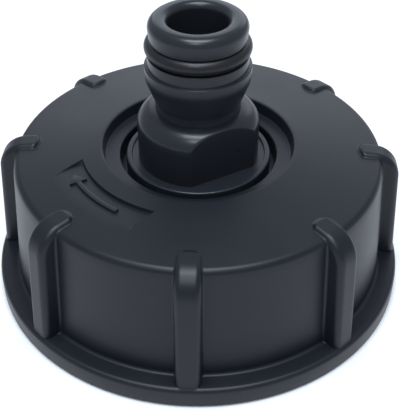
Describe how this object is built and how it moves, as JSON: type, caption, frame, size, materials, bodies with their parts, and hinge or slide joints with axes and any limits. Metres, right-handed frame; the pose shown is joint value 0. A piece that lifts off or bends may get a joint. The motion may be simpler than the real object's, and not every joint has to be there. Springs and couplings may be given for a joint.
{
  "type": "ibc tank hose adapter",
  "caption": "Screw-on plastic cap with grip ribs and a coarse inner thread, holding a loose moulded hose nozzle with wrench flats, a collar and an O-ring.",
  "frame": {"origin": "centre of the cap's flange, on its open face, which the part stands on", "axes": "+Z along the common axis of cap and nozzle, out of the nozzle's tip; a grip rib lies on -Y"},
  "size_m": [0.074, 0.074, 0.0502],
  "materials": {
    "cap_plastic": "satin black polypropylene",
    "nozzle_plastic": "smooth semi-gloss black polypropylene",
    "o_ring_rubber": "smooth black rubber",
    "gasket_rubber": "matt black rubber"
  },
  "bodies": {
    "cap_body": {"cap": "cap_plastic"},
    "nozzle_body": {"nozzle": "nozzle_plastic", "nozzle_o_ring": "o_ring_rubber", "tank_gasket": "gasket_rubber"}
  },
  "joints": [
    {"name": "nozzle_swivel", "type": "hinge", "parent": "cap_body", "child": "nozzle_body", "pos_m": [0, 0, 0.023], "axis": [0, 0, 1], "continuous": true}
  ]
}
